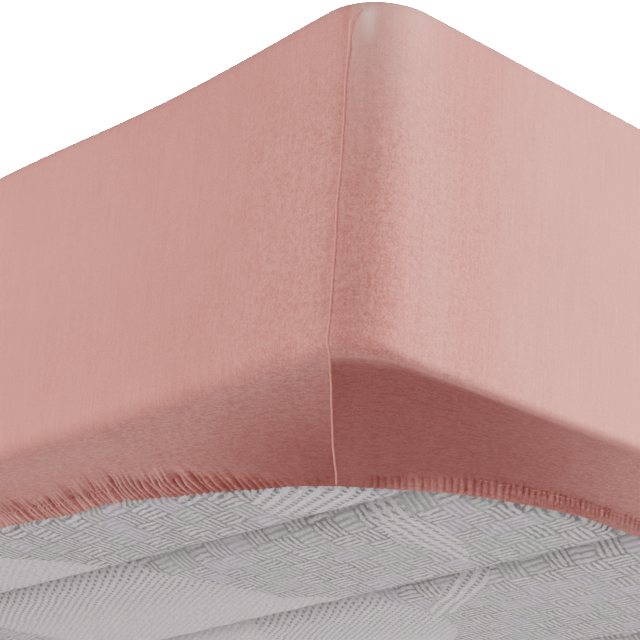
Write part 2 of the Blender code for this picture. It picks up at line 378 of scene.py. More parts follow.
def band_relief(at, inward):
    """How far the gathers, the wider folds and the sewn line move the cloth outwards."""
    relief, calm = GATHERS.relief(at, inward)
    out = relief * bell(np.maximum(inward - HEM_BAND, 0.0), BAND_FADE)
    out = out - FOLD_RELIEF * GATHERS.furrows(at, inward)
    plain = at.ends * (1 - smooth((at.away - 0.28) / 0.06))
    return out - GROOVE_DEPTH * bell(inward, GROOVE_WIDTH, HEM_BAND) * calm * (1 - plain)


class Gathers:
    """The hem's uneven gathers and the wider folds that run out of them."""

    def __init__(self, seed):
        random = np.random.default_rng(seed)
        self.marks = self.uneven(random, SIDE_PITCH, END_PITCH)
        count = len(self.marks)
        self.size = random.uniform(0.60, 1.25, count)
        self.reach = random.uniform(0.2, 1.0, count) ** 1.4
        self.folds = self.uneven(random, FOLD_PITCH, FOLD_PITCH)
        count = len(self.folds)
        self.fold_size = random.uniform(0.1, 1.0, count) ** 1.5
        self.fold_reach = random.uniform(0.014, 0.034, count)
        kept = self.folds <= PERIMETER - NEAR_FOLD_RUN
        away, size, reach = np.array(NEAR_FOLDS).T
        self.folds = np.concatenate([self.folds[kept], PERIMETER - away])
        self.fold_size = np.concatenate([self.fold_size[kept], size])
        self.fold_reach = np.concatenate([self.fold_reach[kept], reach])

    @staticmethod
    def uneven(random, side_pitch, end_pitch):
        """Marks round the outline at uneven distances."""
        marks, place = [], 0.0
        while place < PERIMETER - side_pitch[0]:
            side = int(np.searchsorted(SIDE_STARTS, place, side="right")) - 1
            pitch = end_pitch if side % 2 else side_pitch
            marks.append(place)
            place += random.uniform(*pitch)
        return np.array(marks + [PERIMETER])

    @staticmethod
    def lean(root, inward):
        """How far round the outline a fold has gone at a distance from the hem's edge."""
        at = spots_at(root)
        half = SIDE_LENGTHS[at.side] / 2
        way = np.clip((at.along - half) / 0.2, -1, 1) * smooth(at.away / 0.07)
        converging = SIDE_WRAP / END_WRAP * (1 - at.away / half)
        upright = CORNER_UPRIGHT * (1 - smooth((at.away - 0.08) / 0.16))
        band = between(SIDE_LEAN, BAND_LEAN + upright - converging, at.ends)
        beyond = between(SIDE_LEAN, FOLD_LEAN - converging, at.ends)
        past = inward - HEM_BAND
        past = (past + np.sqrt(past ** 2 + 0.008 ** 2)) / 2
        return way * ((inward - past) * band + past * beyond)

    def unlean(self, place, inward):
        """Where on the hem's edge the fold through this point starts."""
        root = place
        for _ in range(5):
            root = place - self.lean(root, inward)
        return np.mod(root, PERIMETER)

    def numbered(self, at, inward):
        """Where a point is, counted in gathers, and the number of the gather it is on."""
        number = np.interp(self.unlean(at.place, inward), self.marks, np.arange(len(self.marks)))
        return number, np.clip(np.floor(number).astype(int), 0, len(self.marks) - 2)

    def fade(self, nearest, away, inward, ends):
        """How low the gathers are by a corner, and how much is left of them above the band."""
        near = 1 - NEAR_CALM * ends * (1 - smooth((away - 0.03) / 0.20))
        beyond = np.maximum(inward - HEM_BAND * (0.9 - 0.2 * ends) * near, 0.0)
        reach = self.reach[nearest] * (0.005 + 0.015 * ends) + 0.002 + 0.002 * ends
        reach = reach * near * (0.8 + 0.6 * ends * smooth((away - 0.22) / 0.10))
        return near, bell(beyond, reach)

    def relief(self, at, inward):
        """Height of the gathers about their middle, and 0 where the hem lies calm, to 1."""
        away, ends = at.away, at.ends
        calm = smooth((away - 0.008 - 0.022 * ends) / (0.03 + 0.02 * ends))
        number, nearest = self.numbered(at, inward)
        near, left = self.fade(nearest, away, inward, ends)
        ridge = np.abs(np.sin(np.pi * number)) ** 1.3 * self.size[nearest]
        finer = np.abs(np.sin(2 * np.pi * number)) * 0.45
        lower = (1 - ends) * smooth((away - 0.13) / 0.05)
        ridge = ridge + (finer - ridge) * lower * smooth((0.0095 - inward) / 0.002)
        height = between(SIDE_RELIEF, END_RELIEF, ends) * (0.15 + 0.85 * near)
        height = height * (0.45 + 0.55 * smooth(inward / 0.007))
        return height * (ridge * left - 0.5) * (0.08 + 0.92 * calm), calm

    def facing(self, at, inward):
        """1 on the side of a ridge that faces the far corners, -1 on the other side."""
        number, nearest = self.numbered(at, inward)
        left = self.fade(nearest, at.away, inward, 1.0)[1]
        return np.cos(2 * np.pi * (number - 0.28)) * left * smooth((at.away - 0.030) / 0.05)

    def furrows(self, at, inward):
        """Depth of the wider folds, 0 to 1."""
        calm = smooth((at.away - 0.05) / 0.06) * (0.35 + 0.65 * at.ends)
        total = np.zeros_like(at.place)
        place = self.unlean(at.place, inward)
        for mark, size, reach in zip(self.folds, self.fold_size, self.fold_reach):
            away = np.abs(place - mark)
            near = away < 0.03
            width = 0.0040 + 0.08 * inward[near]
            total[near] += size * bell(inward[near], reach, 0.016) * bell(away[near], width)
        return total * calm


GATHERS = Gathers(seed=11)


def dimple(at, down):
    """The drawn-in spot under the top edge, just past each corner seam."""
    past_corner = np.where(at.along == at.away, at.away, -at.away)
    across = past_corner + DIMPLE_ASIDE + DIMPLE_SLANT * (down - DIMPLE_DOWN)
    wide, high = DIMPLE_SIZE
    return np.exp(-(across / wide) ** 2 - ((down - DIMPLE_DOWN) / high) ** 4)


def cloth_points(place, row):
    """Points of one row of the section round the outline."""
    at = spots_at(place)
    inset_x, inset_y, height, radius = row(at)
    depth = SEAM_FURROW * bell(to_corner(place - SEAM_OFFSET), SEAM_FURROW_WIDTH)
    depth = depth + DIMPLE_DEPTH * dimple(at, DEPTH - height)
    x, y = outline(at, inset_x + depth, inset_y + depth, radius)
    return np.stack([x, y, np.broadcast_to(height, x.shape)], axis=1)


def column_places():
    """Places of the fine columns, closest together at the corners and on the near sides."""
    fine = np.linspace(0.0, PERIMETER, 40001)
    near = np.minimum(fine, PERIMETER - fine)
    weight = 1.0 + 2.6 * bell(to_corner(fine), 0.045)
    weight += 5.0 * bell(to_corner(fine - SEAM_OFFSET), 0.009)
    weight += 1.6 * (1 - smooth((near - 0.45) / 0.2))
    weight += 1.6 * bell(near, 0.040)
    total = np.concatenate([[0.0], np.cumsum((weight[1:] + weight[:-1]) / 2)])
    wanted = np.arange(COARSE_COLUMNS * FINE_FACTOR) / (COARSE_COLUMNS * FINE_FACTOR)
    return np.interp(wanted * total[-1], total, fine)


def follow_folds(places, inward):
    """Column places moved along with the folds, so that the columns run on their ridges."""
    shown = 1 - smooth((inward - 0.045) / 0.045)
    return places + GATHERS.lean(places, inward + 0 * places) * shown


def rows_of(shape, values):
    """A row for each value of a shape's own measure."""
    return [lambda at, v=value: shape(at, v) for value in values]


def hem_row(inward, inner=0.0):
    """The row at a distance from the hem's edge."""
    return lambda at: wrap_row(at, None, inward, inner)


# A row of the whole section, with the column step that it uses, its distance from the hem's
# edge or None, and whether it lies under the mattress.
Ring = namedtuple("Ring", "row step inward under")


def section_plan():
    """Rings of the section, from the middle of the top to the turned-in hem."""
    upper = rows_of(top_row, TOP_ROWS) + rows_of(top_edge_row, np.linspace(0, 1, 8))
    upper += rows_of(wall_row, np.linspace(0, 1, 10)[1:-1])
    lower = rows_of(bottom_edge_row, np.linspace(0, 1, 8)) + rows_of(wrap_row, WRAP_ROWS)
    plan = [Ring(row, FINE_FACTOR, None, False) for row in upper]
    plan += [Ring(row, FINE_FACTOR, None, True) for row in lower]
    plan += [Ring(hem_row(inward), 2, inward, True) for inward in FOLD_ROWS]
    plan += [Ring(hem_row(inward), 1, inward, True) for inward in BAND_ROWS]
    plan += [Ring(hem_row(inward, inner), 1, inward, True) for inward, inner in TURNED_ROWS]
    return plan


# ---------------------------------------------------------------- the cloth's painted light and shade

def gathers_painted_light_and_shade(place, inward):
    """The painted light and shade that the gathers add: a painted highlight on their ridges,
    painted shade in their furrows.
    """
    at = spots_at(place)
    inward = inward + 0 * place
    fade = bell(np.maximum(inward - HEM_BAND, 0.0), BAND_FADE)
    level = GATHERS.relief(at, inward)[0] / (END_RELIEF / 2) * (0.5 - 0.1 * at.ends)
    # Painted light on the side of a ridge that faces the far corners, and painted shade on the
    # other side.
    level = level + 1.2 * at.ends * GATHERS.facing(at, inward) * fade
    level = level * (0.25 + 0.75 * smooth((at.away - 0.05) / 0.20))
    return -FOLD_PAINTED_LIGHT_AND_SHADE * level * fade + (0.05 + 0.11 * at.ends) * GATHERS.furrows(at, inward)


def wrap_painted_shade(away, ends, inner):
    """The painted shade on the wrap under the mattress, deepest beside the corners, and painted
    light far along the ends; inner is 0 at its edge and 1 far under.
    """
    by_side = np.exp(-(away / 0.26) ** 3.6) * (1 - 0.10 * inner)
    by_end = END_WRAP_PAINTED_SHADE * bell(away, 0.13) * (0.25 + 0.95 * inner)
    by_end = by_end + MIDDLE_WRAP_PAINTED_SHADE * bell(away, 0.06, 0.13) * inner ** 2
    by_end = by_end - FAR_WRAP_PAINTED_LIGHT * smooth((away - 0.22) / 0.12)
    return REST_WRAP_PAINTED_SHADE + between(SIDE_WRAP_PAINTED_SHADE * by_side, by_end, ends)


def hem_painted_shade_and_highlight(away, from_hem):
    """The ends' hem: painted shade at its very edge, and a painted highlight where the gathers roll
    over.
    """
    middle = smooth((away - 0.07) / 0.05) * (1 - smooth((away - 0.27) / 0.05))
    edge = HEM_EDGE_PAINTED_SHADE * smooth((0.006 - from_hem) / 0.004) * middle
    return edge - ROLLED_PAINTED_HIGHLIGHT * bell(from_hem, 0.003, 0.010) * bell(away, 0.06, 0.19)


def wall_painted_light_and_shade(away, ends, corner, down):
    """How much paler the walls are painted: painted light on the long walls and their upper
    corners, less a soft upright band of painted shade beside the corners.
    """
    high = 1 - smooth(down / 0.17)
    side_shade, end_shade = WALL_PAINTED_SHADE_BANDS
    by_side = WALL_PAINTED_LIGHT * (1 - corner) + CORNER_PAINTED_LIGHT * corner * high
    by_side = by_side - side_shade * bell(away, 0.035, 0.09)
    return between(by_side, -end_shade * bell(away, 0.08, 0.15), ends) * smooth(down / 0.006)


def gathers_painted_light(away, ends, corner, deep):
    """How much paler the hem's gathers are painted, with painted light."""
    overall, beside = SIDE_GATHER_PAINTED_LIGHT
    by_side = (overall + beside * bell(away, 0.28)) * (1 - corner)
    by_end = END_GATHER_PAINTED_LIGHT * smooth((away - 0.10) / 0.12)
    start = between(0.130, 0.115, ends)
    return between(by_side, by_end, ends) * smooth((deep - start) / (0.008 + 0.022 * ends))


def cloth_painted_shading(at, down, under):
    """The cloth's painted light and shade at a depth below the top and a distance under the
    mattress.
    """
    away = at.away
    ends = smooth(0.5 + past_seam(at.place) / 0.006)
    corner = 1 - smooth((away - 0.015) / 0.05)
    shift = hem_shift(at)
    painted_shading = wrap_painted_shade(away, ends, smooth(under / 0.14))
    painted_shading = painted_shading + ends * hem_painted_shade_and_highlight(away, END_WRAP + shift - under)
    run = 0.012 + 0.020 * ends + 0.012 * (1 - ends) * bell(away, 0.08)
    painted_shading = painted_shading * smooth((under - 0.002 - 0.007 * ends) / run)
    painted_shading = painted_shading - wall_painted_light_and_shade(away, ends, corner, down) * (1 - smooth(under / 0.02))
    deep = under - shift * (1 - ends * smooth((away - 0.15) / 0.08))
    painted_shading = painted_shading - gathers_painted_light(away, ends, corner, deep)
    # Painted highlight in the drawn-in dimple beside each corner seam.
    return painted_shading - DIMPLE_PAINTED_HIGHLIGHT * dimple(at, down)


def store_painted_shading(thing, painted_shading):
    data = thing.data.attributes.new("painted_shading", "FLOAT", "POINT")
    data.data.foreach_set("value", painted_shading.astype(np.float32))


def paint_cloth(sheet, points, around, under, folds):
    """What the jersey reads: places on the cloth, how much its rows show, and its painted light and
    shade.
    """
    down = np.maximum(DEPTH - points[:, 2], 0.0)
    at = spots_at(around)
    near_seam = bell(at.away, 0.13) * smooth(down / 0.10)
    rows = np.maximum(near_seam * 0.6, smooth(under / 0.02))
    cloth = np.stack([np.mod(around + PERIMETER / 2, PERIMETER), down + under, rows], axis=1)
    data = sheet.data.attributes.new("cloth", "FLOAT_VECTOR", "POINT")
    data.data.foreach_set("vector", cloth.astype(np.float32).ravel())
    store_painted_shading(sheet, cloth_painted_shading(at, down, under) + folds)


# ---------------------------------------------------------------- meshes

def mesh_object(name, points, faces, smooth_shade=True):
    mesh = bpy.data.meshes.new(name)
    mesh.from_pydata(np.asarray(points).tolist(), [], faces)
    mesh.update()
    if smooth_shade:
        mesh.shade_smooth()
    thing = bpy.data.objects.new(name, mesh)
    bpy.context.scene.collection.objects.link(thing)
    return thing


def ring_faces(upper, lower):
    """Faces between two rings of point numbers; the lower may have twice as many."""
    after = np.roll(upper, -1)
    if len(lower) == len(upper):
        return np.stack([upper, lower, np.roll(lower, -1), after], axis=1).tolist()
    first, middle = lower[0::2], lower[1::2]
    last = np.roll(first, -1)
    faces = np.stack([upper, first, middle], axis=1).tolist()
    faces += np.stack([upper, middle, after], axis=1).tolist()
    faces += np.stack([after, middle, last], axis=1).tolist()
    return faces


def make_sheet():
    """The whole sheet as one surface, with its hem turned in."""
    places = column_places()
    rings, points, around, unders, folds = [], [], [], [], []
    total = 0
    for ring in section_plan():
        columns = places[::ring.step]
        # The gathers' painted light and shade, kept with the points for the cloth's painted
        # shading.
        fold_painted_shading = 0.0 * columns
        if ring.inward is not None:
            columns = follow_folds(columns, ring.inward)
            fold_painted_shading = gathers_painted_light_and_shade(columns, max(ring.inward, 0.0))
        inset = ring.row(spots_at(columns))[0]
        points.append(cloth_points(columns, ring.row))
        around.append(columns)
        unders.append(np.maximum(inset, 0.0) if ring.under else 0.0 * columns)
        folds.append(fold_painted_shading)
        rings.append(np.arange(total, total + len(columns)))
        total += len(columns)
    faces = [rings[0].tolist()]
    for upper, lower in zip(rings, rings[1:]):
        faces += ring_faces(upper, lower)
    sheet = mesh_object("fitted_sheet", np.concatenate(points), faces)
    paint_cloth(sheet, *(np.concatenate(part) for part in (points, around, unders, folds)))
    return sheet


def unit(vectors):
    return vectors / np.linalg.norm(vectors, axis=1, keepdims=True)


def seam_path(corner):
    """Points, crossways and outward directions along one corner seam, from the top down."""
    rows = rows_of(top_edge_row, np.linspace(0.88, 1, 5))
    rows += rows_of(wall_row, np.linspace(0, 1, 90)[1:-1])
    rows += rows_of(bottom_edge_row, np.linspace(0, 1, 14))
    rows += rows_of(wrap_row, np.linspace(0, 0.7, 30)[1:])
    rows += [hem_row(inward) for inward in np.linspace(0.045, 0.0, 16)]

    def line(places):
        spots = zip(places, rows)
        return np.concatenate([cloth_points(np.array([place]), row) for place, row in spots])

    start = np.full(len(rows), SIDE_STARTS[corner] + SEAM_OFFSET)
    hook = SEAM_HOOK * np.clip((line(start)[:, 2] - DEPTH + 0.027) / 0.010, 0, 1) ** 1.5
    middle = line(start + hook)
    across = unit(line(start + hook + 0.004) - line(start + hook - 0.004))
    along = unit(np.gradient(middle, axis=0))
    return middle, across, unit(np.cross(along, across))


def make_seam(corner):
    """A raised, slightly uneven ridge where the corner dart is sewn."""
    middle, across, out = seam_path(corner)
    count = len(middle)
    random = np.random.default_rng(30 + corner)
    wander = np.convolve(random.normal(0, 1, count + 8), np.ones(9) / 9, "valid") * SEAM_WANDER
    steps = np.arange(count)
    ends = smooth(np.minimum(steps, count - 1 - steps) / 3.0)
    half = SEAM_WIDTH / 2 * (0.4 + 0.6 * ends) * (1 + 0.8 * bell(steps, 9.0, 6))
    top = SEAM_TOP_HEIGHT * bell(steps, 8.0, 9)
    profile = np.linspace(-1, 1, 7)
    rows = []
    for share in profile:
        lift = SEAM_HEIGHT * math.sqrt(max(0.0, 1 - share * share)) * (0.2 + 0.8 * ends)
        lift = lift - SEAM_SUNK + top
        rows.append(middle + across * (share * half + wander)[:, None] + out * lift[:, None])
    faces = []
    for line in range(len(profile) - 1):
        start, after = line * count, (line + 1) * count
        faces += [(start + k, start + k + 1, after + k + 1, after + k) for k in range(count - 1)]
    return mesh_object(f"corner_seam_{corner + 1}", np.concatenate(rows), faces)


def stitch_row(at):
    """The line of the stitches on the gathers, sunk into the cloth beside the corners."""
    shown = smooth((at.away - 0.09 - 0.20 * at.ends) / 0.06)
    return wrap_row(at, None, HEM_BAND + 0.0004, 0.0026 - 0.0033 * shown)


def stitch_points(first, last, slant):
    """Points of one short stitch between two points, thinner at its ends."""
    way = (last - first) / np.linalg.norm(last - first)
    side = np.cross(way, (0.0, 0.0, -1.0))
    side /= np.linalg.norm(side)
    down = np.cross(side, way)
    points = []
    for spot, size in STITCH_RINGS:
        centre = first + (last - first) * spot + side * slant * (2 * spot - 1)
        centre = centre + np.array([0.0, 0.0, -STITCH_RADIUS]) * (size > 0.5)
        for k in range(STITCH_SIDES):
            turn = 2 * math.pi * k / STITCH_SIDES
            round_it = side * math.cos(turn) + down * math.sin(turn)
            points.append(centre + round_it * STITCH_RADIUS * size)
    return points


def stitch_faces(base):
    """Faces of one stitch, whose points are numbered from base."""
    last = len(STITCH_RINGS) - 1
    faces = []
    for level in range(last):
        for k in range(STITCH_SIDES):
            a = base + level * STITCH_SIDES + k
            b = base + level * STITCH_SIDES + (k + 1) % STITCH_SIDES
            faces.append((a, b, b + STITCH_SIDES, a + STITCH_SIDES))
    faces.append(tuple(base + k for k in reversed(range(STITCH_SIDES))))
    faces.append(tuple(base + last * STITCH_SIDES + k for k in range(STITCH_SIDES)))
    return faces


def make_stitches():
    """The row of short stitches that holds the hem, on top of the gathers."""
    fine = np.linspace(0, PERIMETER, 24001)[:-1]
    line = cloth_points(fine, stitch_row)
    gaps = np.linalg.norm(np.roll(line, -1, axis=0)[:, :2] - line[:, :2], axis=1)
    run = np.concatenate([[0.0], np.cumsum(gaps)])
    points, faces = [], []
    for number in range(int(run[-1] / STITCH_PITCH)):
        start = number * STITCH_PITCH
        pair = cloth_points(np.interp([start, start + STITCH_LENGTH], run[:-1], fine), stitch_row)
        length = np.linalg.norm(pair[1] - pair[0])
        if length < 1e-5 or length > 2 * STITCH_LENGTH:
            continue
        faces += stitch_faces(len(points))
        points += stitch_points(pair[0], pair[1], STITCH_SLANT if number % 2 else -STITCH_SLANT)
    return mesh_object("hem_stitches", points, faces)


# ---------------------------------------------------------------- the mattress

GRID_X = 250
GRID_Y = 150
MATTRESS_GAP = 0.0035        # between the sheet and the mattress
FIELD_INSET = 0.050          # of the underside's grid, from the walls
RECESS = 0.022               # how far the ticking is drawn up outside the hem
CREASE_DEPTH = 0.015
CREASE_NEAR_REACH = 0.022    # steeper towards the left end, and longer away from it
CREASE_FAR_REACH = 0.048
CREASE_SHIFT = 0.010
CREASE_PAINTED_SHADE = 0.50           # painted shade: how much greyer the ticking is in a crease
NEAR_HEM = 0.05              # distances from the hem's edge are cut off here


def hem_line():
    """The hem's edge as points with inward directions."""
    at = spots_at(np.linspace(0, PERIMETER, 2401)[:-1])
    shift = hem_shift(at)
    x, y = outline(at, END_WRAP + shift, SIDE_WRAP + shift, HEM_CORNER_RADIUS + 0 * shift)
    points = np.stack([x, y], axis=1)
    way = unit(np.roll(points, -1, axis=0) - np.roll(points, 1, axis=0))
    return points, np.stack([-way[:, 1], way[:, 0]], axis=1)


def inside_hem(x, y):
    """Distance inside the hem's edge, negative outside it, cut off at NEAR_HEM."""
    line, inward = hem_line()
    rough_x = LENGTH / 2 - END_WRAP - np.abs(x)
    rough_y = WIDTH / 2 - SIDE_WRAP - np.abs(y)
    result = np.where(np.minimum(rough_x, rough_y) > 3 * NEAR_HEM, NEAR_HEM, 0.0)
    spots = np.nonzero(result == 0.0)[0]
    for block in np.array_split(spots, max(1, len(spots) // 2000)):
        away = np.stack([x[block], y[block]], axis=1)[:, None, :] - line[None, :, :]
        nearest = (away ** 2).sum(axis=2).argmin(axis=1)
        signed = (away[np.arange(len(block)), nearest] * inward[nearest]).sum(axis=1)
        result[block] = np.clip(signed, -NEAR_HEM, NEAR_HEM)
    return result


def crease_share(x, y):
    """1 in the middle of a crease, fading to 0 at its edges."""
    total = np.zeros_like(x)
    for crease in CREASES:
        away = x - crease.place - CREASE_SHIFT - y * math.tan(math.radians(crease.skew))
        reach = np.where(away < 0, CREASE_NEAR_REACH, CREASE_FAR_REACH)
        total = np.maximum(total, np.clip(1 - np.abs(away) / reach, 0, 1))
    return total


def underside_height(x, y):
    """Height of the ticking above the floor."""
    height = CREASE_DEPTH * crease_share(x, y) ** 2
    inside = inside_hem(x, y)
    shoulder = RECESS * (1 - smooth((inside + 0.007) / 0.015))
    swelling = 0.002 * (1 - smooth(inside / 0.045))
    ripple = np.sin(x * 61 + 2 * np.sin(y * 23)) * np.sin(y * 47 + 1.7 * np.sin(x * 19))
    return np.maximum(height + 0.0006 * (1 + ripple), shoulder + swelling)


def grid_columns():
    """Column positions at y = 0 and their slants, closest together at the creases."""
    half = LENGTH / 2 - FIELD_INSET
    stops = [(crease.place, math.tan(math.radians(crease.skew))) for crease in CREASES]
    stops = [(-half, 0.0)] + stops + [(half, 0.0)]
    places, slants = [], []
    for (x0, t0), (x1, t1) in zip(stops, stops[1:]):
        count = max(4, int(round(GRID_X * (x1 - x0) / (2 * half))))
        share = np.arange(count) / count
        share = share - 0.6 * np.sin(2 * np.pi * share) / (2 * np.pi)
        places.append(x0 + (x1 - x0) * share)
        slants.append(t0 + (t1 - t0) * share)
    places.append([half])
    slants.append([0.0])
    return np.concatenate(places), np.concatenate(slants)


def grid_rim(number):
    """A grid's outer point numbers in order, and the place round the outline of each."""
    lines = (number[0, :-1], number[:-1, -1], number[-1, :0:-1], number[:0:-1, 0])
    side = np.repeat(np.arange(4), [len(line) for line in lines])
    share = np.concatenate([np.arange(len(line)) / len(line) for line in lines])
    return np.concatenate(lines), SIDE_STARTS[side] + share * SIDE_LENGTHS[side]


def make_mattress():
    """The mattress: a quilted underside, and walls and top that the sheet hides."""
    columns, slants = grid_columns()
    half_y = WIDTH / 2 - FIELD_INSET
    lines = np.linspace(-half_y, half_y, GRID_Y)
    y, column = np.meshgrid(lines, np.arange(len(columns)), indexing="ij")
    x = columns[column] + slants[column] * y
    x, y = x.ravel(), y.ravel()
    points = [np.stack([x, y, underside_height(x, y)], axis=1)]
    total = len(x)
    number = np.arange(total).reshape(len(lines), len(columns))
    corners = (number[:-1, :-1], number[1:, :-1], number[1:, 1:], number[:-1, 1:])
    faces = np.stack(corners, axis=-1).reshape(-1, 4).tolist()

    ring, around = grid_rim(number)
    at = spots_at(around)
    rows = rows_of(bottom_edge_row, (1.0, 0.75, 0.5, 0.25, 0.0)) + rows_of(wall_row, (0.5,))
    rows += rows_of(top_edge_row, (1.0, 0.66, 0.33, 0.0)) + rows_of(top_row, (0.12, 0.4))
    for row in rows:
        inset_x, inset_y, z, radius = row(at)
        px, py = outline(at, inset_x + MATTRESS_GAP, inset_y + MATTRESS_GAP, radius)
        z = z + MATTRESS_GAP * np.where(z > DEPTH / 2, -1.0, 1.0)
        points.append(np.stack([px, py, np.broadcast_to(z, px.shape)], axis=1))
        above = np.arange(total, total + len(ring))
        faces += np.stack([ring, np.roll(ring, -1), np.roll(above, -1), above], axis=1).tolist()
        ring = above
        total += len(above)
    faces.append(ring.tolist())
    points = np.concatenate(points)
    mattress = mesh_object("mattress_ticking", points, faces)
    # Painted shade along the creases.
    store_painted_shading(mattress, CREASE_PAINTED_SHADE * crease_share(points[:, 0], points[:, 1]) ** 1.5)
    return mattress


# ---------------------------------------------------------------- materials

class Value:
    """A number in a shader. Adding, multiplying and so on give it a Math node."""

    def __init__(self, nodes, socket):
        self.nodes = nodes
        self.socket = socket

    def __add__(self, other):
        return self.nodes.math("ADD", self, other)

    def __sub__(self, other):
        return self.nodes.math("SUBTRACT", self, other)

    def __mul__(self, other):
        return self.nodes.math("MULTIPLY", self, other)

    def __truediv__(self, other):
        return self.nodes.math("DIVIDE", self, other)

    def stretch(self, low, high, to_low=0.0, to_high=1.0):
        """The span from low to high, made to run from to_low to to_high."""
        node = self.nodes.add("ShaderNodeMapRange")
        names = ("Value", "From Min", "From Max", "To Min", "To Max")
        for name, item in zip(names, (self, low, high, to_low, to_high)):
            self.nodes.put(item, node.inputs[name])
        return Value(self.nodes, node.outputs["Result"])

    def spread(self, amount, half=0.2):
        """The middle of a noise, made to run from -amount to amount."""
        return self.stretch(0.5 - half, 0.5 + half, -amount, amount)

    def wave(self, pitch):
        """A cosine wave from 0 to 1."""
        return self.nodes.math("COSINE", self * (2 * math.pi / pitch)).stretch(-1.0, 1.0)


class Nodes:
    """The nodes of one material."""

    def __init__(self, name):
        self.material = bpy.data.materials.new(name)
        self.material.use_nodes = True
        self.tree = self.material.node_tree
        self.shader = self.tree.nodes["Principled BSDF"]

    def put(self, item, socket):
        """Set a socket to a constant, or link it."""
        if isinstance(item, (int, float, tuple)):
            socket.default_value = item
        else:
            self.tree.links.new(item.socket if isinstance(item, Value) else item, socket)

    def add(self, kind, **settings):
        node = self.tree.nodes.new(kind)
        for key, setting in settings.items():
            setattr(node, key, setting)
        return node

    def filled(self, node, items, sockets):
        for item, number in zip(items, sockets):
            self.put(item, node.inputs[number])
        return node

    def math(self, operation, first, second=0.0, clamp=False):
        node = self.add("ShaderNodeMath", operation=operation, use_clamp=clamp)
        return Value(self, self.filled(node, (first, second), (0, 1)).outputs[0])

    def blend(self, share, first, second):
        node = self.add("ShaderNodeMix", data_type="FLOAT")
        return Value(self, self.filled(node, (share, first, second), (0, 2, 3)).outputs[0])

    def mix(self, share, first, second):
        """A colour between two colours."""
        node = self.add("ShaderNodeMix", data_type="RGBA")
        return self.filled(node, (share, first, second), (0, 6, 7)).outputs[2]

    def place(self):
        """The position on the object."""
        return self.add("ShaderNodeTexCoord").outputs["Object"]

    def attribute(self, name, output):
        return self.add("ShaderNodeAttribute", attribute_name=name).outputs[output]

    def vector(self, x, y):
        return self.filled(self.add("ShaderNodeCombineXYZ"), (x, y), (0, 1)).outputs[0]

    def split(self, vector):
        node = self.filled(self.add("ShaderNodeSeparateXYZ"), (vector,), (0,))
        return [Value(self, socket) for socket in node.outputs]

    def noise(self, vector, scale, detail=2.0, roughness=0.5):
        node = self.add("ShaderNodeTexNoise")
        items = (vector, scale, detail, roughness)
        self.filled(node, items, ("Vector", "Scale", "Detail", "Roughness"))
        return Value(self, node.outputs["Fac"])

    def bump(self, height, strength, distance):
        node = self.add("ShaderNodeBump")
        self.filled(node, (height, strength, distance), ("Height", "Strength", "Distance"))
        return node

    def finish(self, colour, normal, roughness, sheen):
        items = (colour, normal, roughness, sheen)
        self.filled(self.shader, items, ("Base Color", "Normal", "Roughness", "Sheen Weight"))
        return self.material


ROSE_PALE = (0.645, 0.308, 0.280)
ROSE_DEEP = (0.435, 0.156, 0.133)
ROSE_PAINTED_SHADE = (0.16, 0.008, 0.003, 1.0)      # the colour of the painted shade
ROSE_PAINTED_LIGHT = (0.86, 0.68, 0.64, 1.0)    # and the colour of the painted light, which makes it paler
ROSE_SHEEN = (1.0, 0.90, 0.87, 1.0)


def scaled(colour, factor):
    return (*[part * factor for part in colour], 1.0)


def knit_yarn(nodes, place, around, down, row_share):
    """Wales on the walls and the top, cross rows underneath, and the wales' thick places."""
    x, y, z = nodes.split(place)
    on_top = z.stretch(DEPTH - 0.006, DEPTH - 0.001)
    walls = nodes.vector(around, down * 0.05)
    top = nodes.vector(x * 0.05, y)
    rows = nodes.noise(nodes.vector(around * 0.16, down), 330, 2.0, 0.6)
    streak = nodes.blend(on_top, nodes.noise(walls, 520, 2.0, 0.6), nodes.noise(top, 520, 2.0, 0.6))
    slub = nodes.blend(on_top, nodes.noise(walls, 130, 3.0, 0.6), nodes.noise(top, 130, 3.0, 0.6))
    return nodes.blend(row_share, streak, rows), slub


def jersey_material(name, painted_lightness):
    """Dusty-rose jersey: fine upright wales and cross rows, a melange of paler and deeper yarn."""
    nodes = Nodes(name)
    place = nodes.place()
    around, down, row_share = nodes.split(nodes.attribute("cloth", "Vector"))
    yarn, slub = knit_yarn(nodes, place, around, down, row_share)
    grain = nodes.noise(place, 720, 3.0, 0.75)
    patches = nodes.noise(place, 9, 3.0, 0.55)
    crepe = nodes.noise(place, 250, 2.0, 0.6)

    coarser = row_share * 1.6 + 1.0
    melange = (yarn.spread(0.07) + slub.spread(0.03) + grain.spread(0.20)) * coarser
    melange = melange + patches.spread(0.05, 0.15) + crepe.spread(0.24, 0.15) * row_share
    share = nodes.math("ADD", melange, 0.5, clamp=True)
    # A lightness above 1 makes a paler copy of the knit, a painted highlight.
    colour = nodes.mix(share, scaled(ROSE_DEEP, painted_lightness), scaled(ROSE_PALE, painted_lightness))
    # Painted shading: deeper towards the painted shade's colour, paler towards the painted light's
    # colour.
    painted_shading = Value(nodes, nodes.attribute("painted_shading", "Fac"))
    colour = nodes.mix(nodes.math("MAXIMUM", painted_shading, 0.0), colour, ROSE_PAINTED_SHADE)
    colour = nodes.mix(nodes.math("MAXIMUM", painted_shading * -1.0, 0.0), colour, ROSE_PAINTED_LIGHT)

    bump = nodes.bump((yarn * 0.8 + grain * 0.9) * coarser, 0.5, 0.0007)
    sheen = ("Specular IOR Level", "Sheen Roughness", "Sheen Tint")
    nodes.filled(nodes.shader, (0.10, 0.45, ROSE_SHEEN), sheen)
    return nodes.finish(colour, bump.outputs[0], 0.75, 0.04)


